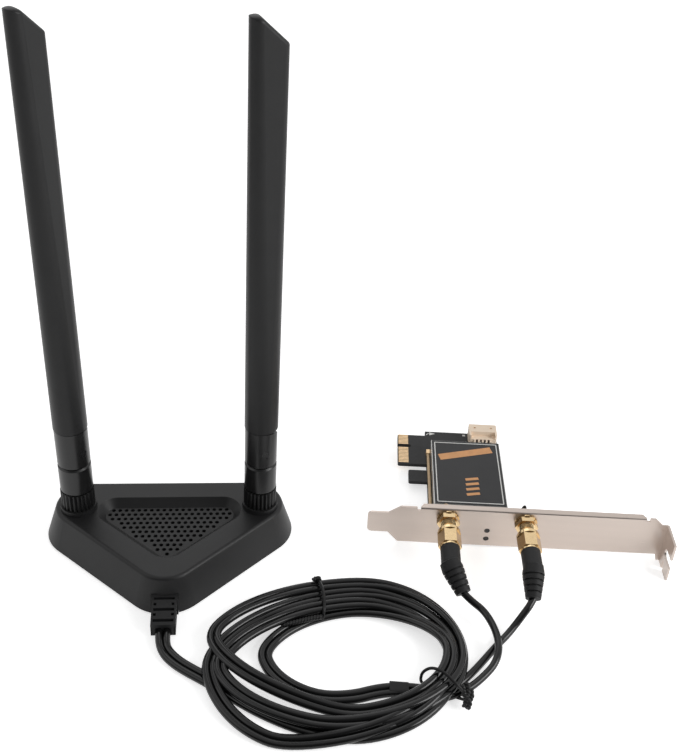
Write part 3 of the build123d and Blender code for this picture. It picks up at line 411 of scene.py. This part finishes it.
pair_line = [(Vector(point), 0.0) for point in pair_start]
for index, (here, edge_here, hump) in enumerate(coil_stations[:-1]):
    there, edge_there, _ = coil_stations[index + 1]
    flat = QUARTER_FLATNESS[index % len(QUARTER_FLATNESS)]
    for step in range(STEPS_PER_QUARTER):
        part = step / STEPS_PER_QUARTER
        turn = part * pi / 2
        slow = (1 - flat) * (1 - cos(turn)) + flat * part
        fast = (1 - flat) * sin(turn) + flat * part
        share_x, share_y = (fast, slow) if index % 2 == 0 else (slow, fast)
        point = Vector((
            here[0] + (there[0] - here[0]) * share_x,
            here[1] + (there[1] - here[1]) * share_y,
            here[2] + (there[2] - here[2]) * part + hump * sin(2 * turn),
        ))
        pair_line.append((point, edge_here + (edge_there - edge_here) * part))
pair_line.append((Vector(coil_stations[-1][0]), 0.0))
pair_line += [(Vector(point), 0.0) for point in pair_end]


def strand(hand):
    """One lead of the pair: its line moved half a pair sideways, or upright where it stands on edge."""
    points = []
    for index, (point, edge) in enumerate(pair_line):
        before = pair_line[max(index - 1, 0)][0]
        after = pair_line[min(index + 1, len(pair_line) - 1)][0]
        ahead = after - before
        across = Vector((-ahead.y, ahead.x, 0)).normalized()
        lean = edge * pi / 2
        points.append(point + hand * TWIN_HALF * (across * cos(lean) + UP * sin(lean)))
    return points


# Side of the pair that each lead runs on, and its route before and after the pair
lead_ends = {
    "left": (
        -1,
        [(5.3, -53.75, 2.6), (5.83, -58.33, 2.6)],
        [
            (98.0, -72.8, 1.5), (104.4, -73.6, 1.4), (110.6, -71.6, 1.5), (116.6, -67.8, 1.8),
            (121.6, -63.0, 2.6), (125.4, -58.4, 3.6), (127.2, -53.2, 5.0), (127.0, -47.0, 5.4),
            (125.5, -40.5, 5.2), (122.6, -35.2, 5.8), (118.2, -32.5, 7.2), (115.27, -30.44, 8.84),
        ],
    ),
    "right": (
        1,
        [(8.05, -53.42, 2.6), (8.56, -58.4, 2.6)],
        [
            (98.0, -69.4, 1.5), (105.4, -69.8, 1.4), (112.0, -67.4, 1.5), (117.0, -61.8, 1.5),
            (122.0, -55.2, 1.4), (127.2, -48.0, 1.4), (131.6, -42.8, 1.8), (134.8, -39.2, 3.8),
            (137.4, -36.4, 6.2), (139.7, -34.0, 8.3), (141.14, -31.57, 9.61),
        ],
    ),
}

# Loop of each wire tie round the leads, and its twisted tails
tie_routes = {
    "back_tie": (
        [
            (63.4, -42.4, 2.4), (63.8, -41.6, 4.8), (63.6, -37.4, 6.6), (62.8, -32.0, 7.0),
            (61.4, -27.6, 6.2), (60.2, -24.8, 4.8), (59.8, -23.2, 2.6), (60.2, -23.8, 0.7),
            (61.2, -30.0, 0.6), (62.8, -38.0, 0.6), (63.2, -42.0, 1.0),
        ],
        [
            [(58.8, -26.2, 5.8), (60.2, -25.4, 5.6), (61.6, -25.8, 6.0)],
            [
                (63.0, -43.0, 4.2), (60.0, -44.0, 4.4), (56.2, -45.4, 4.2), (52.2, -46.6, 3.6),
                (48.4, -47.4, 2.6),
            ],
        ],
    ),
    "front_tie": (
        [
            (114.4, -73.4, 3.6), (112.6, -73.2, 6.6), (110.0, -72.2, 8.6), (106.4, -68.8, 9.8),
            (102.0, -66.8, 9.6), (99.2, -66.4, 6.4), (98.8, -66.6, 3.0), (99.4, -66.8, 0.8),
            (103.0, -68.4, 0.6), (109.0, -71.0, 0.6), (114.0, -73.0, 1.4),
        ],
        [
            [(114.2, -70.0, 6.4), (114.8, -72.4, 5.4), (114.4, -74.6, 3.6), (113.6, -76.8, 2.0)],
            [(112.6, -71.6, 7.0), (113.4, -73.6, 5.0), (115.4, -75.4, 3.2), (114.6, -77.2, 1.8)],
            [(115.8, -71.2, 5.0), (116.0, -73.4, 3.8), (114.8, -75.6, 2.2)],
        ],
    ),
}


def twist(points):
    """Two wires of a tie wound round a short line of points, in millimetres."""
    wires = ([], [])
    travelled = 0.0
    for here, there in zip(points, points[1:]):
        here, there = Vector(here), Vector(there)
        ahead = (there - here).normalized()
        side = ahead.cross(UP).normalized()
        over = side.cross(ahead)
        for step in range(TWIST_STEPS):
            along = (there - here).length * step / TWIST_STEPS
            angle = 2 * pi * TWISTS_PER_MM * (travelled + along)
            for wire, phase in zip(wires, (0.0, pi)):
                offset = side * cos(angle + phase) + over * sin(angle + phase)
                wire.append(here + ahead * along + offset * TIE_RADIUS)
        travelled += (there - here).length
    return wires


tie_pieces = []
for name, (loop, tails) in tie_routes.items():
    wires = [wire for tail in tails for wire in twist(tail)]
    lines = [[layout(point) for point in line] for line in (loop, *wires)]
    tie = add_piece(name + "_wire", curve_data(name + "_wire", lines, TIE_RADIUS * MM), "tie_black")
    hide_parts(name)
    tie_pieces.append(tie)

for side, (hand, first, last) in lead_ends.items():
    points = [layout(point) for point in (*first, *strand(hand), *last)]
    name = side + "_lead"
    lead = add_piece(name, curve_data(name, [points], LEAD_RADIUS * MM), "lead_jacket")
    on_lead = [frame["nodes"][side + "_" + part] for part in ("plug_nut", "plug_core", "boot")]
    replaced = [side + "_base_lead", side + "_plug_lead"]
    if side == "left":
        replaced.append("cable_coil")
        on_lead += [*tie_pieces, frame["nodes"]["split_sleeve"]]
    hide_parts(*replaced)


def mesh_data(name, corners, faces):
    """Mesh from corners in metres and faces."""
    mesh = bpy.data.meshes.new(name)
    mesh.from_pydata([tuple(corner) for corner in corners], [], faces)
    mesh.update()
    return mesh


def prism_data(name, prisms):
    """Mesh of prisms, each from one outline to a like one, in metres."""
    corners = []
    faces = []
    for start, end in prisms:
        count = len(start)
        first = len(corners)
        corners += [*start, *end]
        faces.append([first + count + index for index in range(count)])
        faces.append([first + index for index in reversed(range(count))])
        for index in range(count):
            following = (index + 1) % count
            faces.append((first + index, first + following, first + count + following, first + count + index))
    return mesh_data(name, corners, faces)


def mark_data(name, outlines, face):
    """Thin marks on a face of the card at the given level, with outlines in the card's x and y."""
    levels = (face - MARK_HEIGHT, face + MARK_HEIGHT)
    prisms = [[[card((x, y, level)) for x, y in outline] for level in levels] for outline in outlines]
    return prism_data(name, prisms)


def bar_prism(profile, left, right, place):
    """Bar between two places across, with a profile in y and z, in millimetres in the frame of place()."""
    return [[place((x, y, z)) for y, z in profile] for x in (right, left)]


def strip(ends, width):
    """Outline of a straight strip between two points."""
    start, end = (Vector(point) for point in ends)
    ahead = (end - start).normalized()
    side = Vector((-ahead.y, ahead.x)) * width / 2
    return [start - side, end - side, end + side, start + side]


# Film and board marks
border_x = (FILM_LEFT + BORDER_INSET, FILM_RIGHT - BORDER_INSET)
border_y = (FILM_NEAR + BORDER_INSET, FILM_BACK - BORDER_INSET)
near_left, near_right, back_left, back_right = [(x, y) for y in border_y for x in border_x]
sides = [(near_left, near_right), (near_right, back_right), (back_right, back_left), (back_left, near_left)]
border = [strip(ends, BORDER_WIDTH) for ends in sides]
add_piece("film_border", mark_data("film_border", border, FILM_TOP), "film_grey", "mark_white")
bars = [strip(WIDE_BAR, WIDE_BAR_WIDTH)]
for place in range(SHORT_BARS):
    ends = [(x, y + SHORT_BAR_PITCH * place) for x, y in SHORT_BAR]
    bars.append(strip(ends, SHORT_BAR_WIDTH))
add_piece("film_bars", mark_data("film_bars", bars, FILM_TOP), "film_grey", "mark_copper")
marks = [BOARD_TRIANGLE, strip(BOARD_STROKE, BOARD_STROKE_WIDTH), strip(BOARD_PAD, BOARD_PAD_WIDTH)]
add_piece("board_marks", mark_data("board_marks", marks, BOARD_TOP), "board_black", "mark_white")


def thread_data(name, across):
    """Ridge wound round a jack's barrel between its nut and the coupling nut."""
    count = int(BARREL_SHOWN / THREAD_PITCH * THREAD_STEPS)
    half = THREAD_PITCH * THREAD_FLANK
    root = BARREL_RADIUS - THREAD_ROOT
    ridge = ((-half, root), (0, BARREL_RADIUS + THREAD_DEPTH), (half, root))
    corners = []
    for step in range(count + 1):
        angle = 2 * pi * step / THREAD_STEPS
        out = BARREL_START + BARREL_SHOWN * step / count
        for offset, radius in ridge:
            level = JACK_LEVEL + radius * sin(angle)
            corners.append(card((across + radius * cos(angle), -out - offset, level)))
    last = RIDGE_CORNERS * count
    faces = [(0, 2, 1), (last, last + 1, last + 2)]
    for old in range(0, last, RIDGE_CORNERS):
        new = old + RIDGE_CORNERS
        for index in range(RIDGE_CORNERS):
            following = (index + 1) % RIDGE_CORNERS
            faces.append((old + index, old + following, new + following, new + index))
    return mesh_data(name, corners, faces)


for side, across in JACKS_ACROSS.items():
    add_piece(side + "_thread", thread_data(side + "_thread", across), "gold_plate")

pigtail_line = [card(point) for point in PIGTAIL_ROUTE]
pigtail_data = curve_data("right_pigtail_wire", [pigtail_line], PIGTAIL_RADIUS * MM)
pigtail = add_piece("right_pigtail_wire", pigtail_data, "lead_jacket")
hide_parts("right_pigtail")


def tooth_profile(top, shoulder, proud):
    """Profile of a tooth, or of a slot's floor, on the header's face: a slope, then straight down."""
    back = HEADER_NEAR + FACE_SUNK
    front = HEADER_NEAR - proud
    return [(back, top), (front, shoulder), (front, BOARD_TOP), (back, BOARD_TOP)]


tooth = tooth_profile(TOOTH_TOP, TOOTH_SHOULDER, TOOTH_PROUD)
slot = tooth_profile(SLOT_TOP, SLOT_SHOULDER, SLOT_PROUD)
teeth = []
slots = []
for place in range(TEETH):
    middle = HEADER_SOCKET[0] + TOOTH_PITCH * (place - (TEETH - 1) / 2)
    left = middle - TOOTH_WIDTH / 2
    teeth.append(bar_prism(tooth, left, middle + TOOTH_WIDTH / 2, card))
    if place:
        slots.append(bar_prism(slot, left - TOOTH_PITCH + TOOTH_WIDTH, left, card))
add_piece("header_teeth", prism_data("header_teeth", teeth), "header_cream")
# The slots between the teeth are coloured dark brown as painted shade of the cavities
add_piece("header_slots_painted_shade", prism_data("header_slots_painted_shade", slots), "header_cream", "painted_slot_shade")


def relief_top(out):
    """Level of the relief's sloping top."""
    return RELIEF_TOP + (RELIEF_TIP_TOP - RELIEF_TOP) * max(out, 0.0) / RELIEF_TIP


def relief_bar(start, end, left, right, low=None, drop=0.0, high=None):
    """Bar between two distances out: its top follows the slope or a level, its foot a level or the groove."""
    profile = []
    for out in (start, end):
        top = relief_top(out) - drop if high is None else high
        foot = top - GROOVE_DEPTH if low is None else low
        profile.append(((out, foot), (out, top)))
    (near_foot, near_top), (far_foot, far_top) = profile
    return bar_prism([near_foot, near_top, far_top, far_foot], left, right, relief_place)


inside = RELIEF_TIP_HALF - RELIEF_CHEEK
relief_bars = [
    relief_bar(RELIEF_BACK, MOUTH_BACK, -RELIEF_TIP_HALF, RELIEF_TIP_HALF, RELIEF_LOW, GROOVE_DEPTH),
    relief_bar(MOUTH_BACK, RELIEF_TIP, -MOUTH_HALF, MOUTH_HALF, RELIEF_LOW, high=MOUTH_LOW),
    relief_bar(MOUTH_BACK, RELIEF_TIP, -MOUTH_HALF, MOUTH_HALF, MOUTH_TOP, GROOVE_DEPTH),
]
for hand in (-1, 1):
    mouth_side = sorted((hand * MOUTH_HALF, hand * RELIEF_TIP_HALF))
    relief_bars.append(relief_bar(MOUTH_BACK, RELIEF_TIP, *mouth_side, RELIEF_LOW, GROOVE_DEPTH))
    back_cheek = sorted((hand * inside, hand * RELIEF_HALF))
    relief_bars.append(relief_bar(RELIEF_BACK, 0.0, *back_cheek, RELIEF_LOW))
    cheek = sorted((hand * inside, hand * RELIEF_TIP_HALF))
    relief_bars.append(relief_bar(0.0, RELIEF_TIP, *cheek, RELIEF_LOW))
relief_bars += [relief_bar(start, end, -inside, inside) for start, end in RUNGS]
relief_bars += [relief_bar(start, end, -BRIDGE_HALF, BRIDGE_HALF) for start, end in BRIDGES]
relief = add_piece("ribbed_relief", prism_data("ribbed_relief", relief_bars), "black_rubber")
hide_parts("strain_relief")

# Floor: pale, and lit up a little for the camera and in reflections
reach = FLOOR_REACH
floor_corners = [(-reach, -reach, 0), (reach, -reach, 0), (reach, reach, 0), (-reach, reach, 0)]
floor_mesh = mesh_data("floor", floor_corners, [(0, 1, 2, 3)])
floor = bpy.data.objects.new("floor", floor_mesh)
scene.collection.objects.link(floor)
floor.location.z = cad_low.z - FLOOR_GAP
floor_finish = bpy.data.materials.new("floor")
floor_finish.use_nodes = True
tree = floor_finish.node_tree
floor_shader = tree.nodes["Principled BSDF"]
floor_shader.inputs["Base Color"].default_value = (FLOOR_GREY, FLOOR_GREY, FLOOR_GREY, 1)
floor_shader.inputs["Roughness"].default_value = FLOOR_ROUGHNESS
floor_shader.inputs["Emission Color"].default_value = (1, 1, 1, 1)
rays = add_node(tree, "ShaderNodeLightPath")
shown = add_node(tree, "ShaderNodeMath", operation="MAXIMUM")
glow = add_node(tree, "ShaderNodeMath", operation="MULTIPLY")
glow.inputs[1].default_value = FLOOR_GLOW
tree.links.new(rays.outputs["Is Camera Ray"], shown.inputs[0])
tree.links.new(rays.outputs["Is Glossy Ray"], shown.inputs[1])
tree.links.new(shown.outputs["Value"], glow.inputs[0])
tree.links.new(glow.outputs["Value"], floor_shader.inputs["Emission Strength"])
floor_mesh.materials.append(floor_finish)

# Studio: white for the camera, and in reflections a white room that falls off towards its open front
world = bpy.data.worlds.new("studio")
scene.world = world
world.use_nodes = True
tree = world.node_tree
sky = tree.nodes["Background"]
sky.inputs["Color"].default_value = (1, 1, 1, 1)
rays = add_node(tree, "ShaderNodeLightPath")
heading = add_node(tree, "ShaderNodeTexCoord")
split = add_node(tree, "ShaderNodeSeparateXYZ")
room = add_node(tree, "ShaderNodeMapRange")
room.inputs["From Min"].default_value = STUDIO_FRONT_FROM
room.inputs["From Max"].default_value = STUDIO_FRONT_TO
room.inputs["To Min"].default_value = STUDIO_FRONT_LIGHT - STUDIO_LIGHT
room.inputs["To Max"].default_value = 1.0 - STUDIO_LIGHT
mirrored = add_node(tree, "ShaderNodeMath", operation="MULTIPLY_ADD")
mirrored.inputs[2].default_value = STUDIO_LIGHT
seen = add_node(tree, "ShaderNodeMath", operation="MAXIMUM")
level = add_node(tree, "ShaderNodeMath", operation="MAXIMUM")
tree.links.new(heading.outputs["Generated"], split.inputs["Vector"])
tree.links.new(split.outputs["Y"], room.inputs["Value"])
tree.links.new(rays.outputs["Is Glossy Ray"], mirrored.inputs[0])
tree.links.new(room.outputs["Result"], mirrored.inputs[1])
tree.links.new(rays.outputs["Is Camera Ray"], seen.inputs[0])
tree.links.new(rays.outputs["Is Transmission Ray"], seen.inputs[1])
tree.links.new(seen.outputs["Value"], level.inputs[0])
tree.links.new(mirrored.outputs["Value"], level.inputs[1])
tree.links.new(level.outputs["Value"], sky.inputs["Strength"])

# Square soft boxes that look at the object
for name, (place, width, power) in LAMPS.items():
    lamp_data = bpy.data.lights.new(name, "AREA")
    lamp_data.shape = "SQUARE"
    lamp_data.size = width
    lamp_data.energy = power
    lamp = bpy.data.objects.new(name, lamp_data)
    scene.collection.objects.link(lamp)
    lamp.location = place
    lamp.rotation_euler = (Vector(LAMP_AIM) - Vector(place)).to_track_quat("-Z", "Y").to_euler()
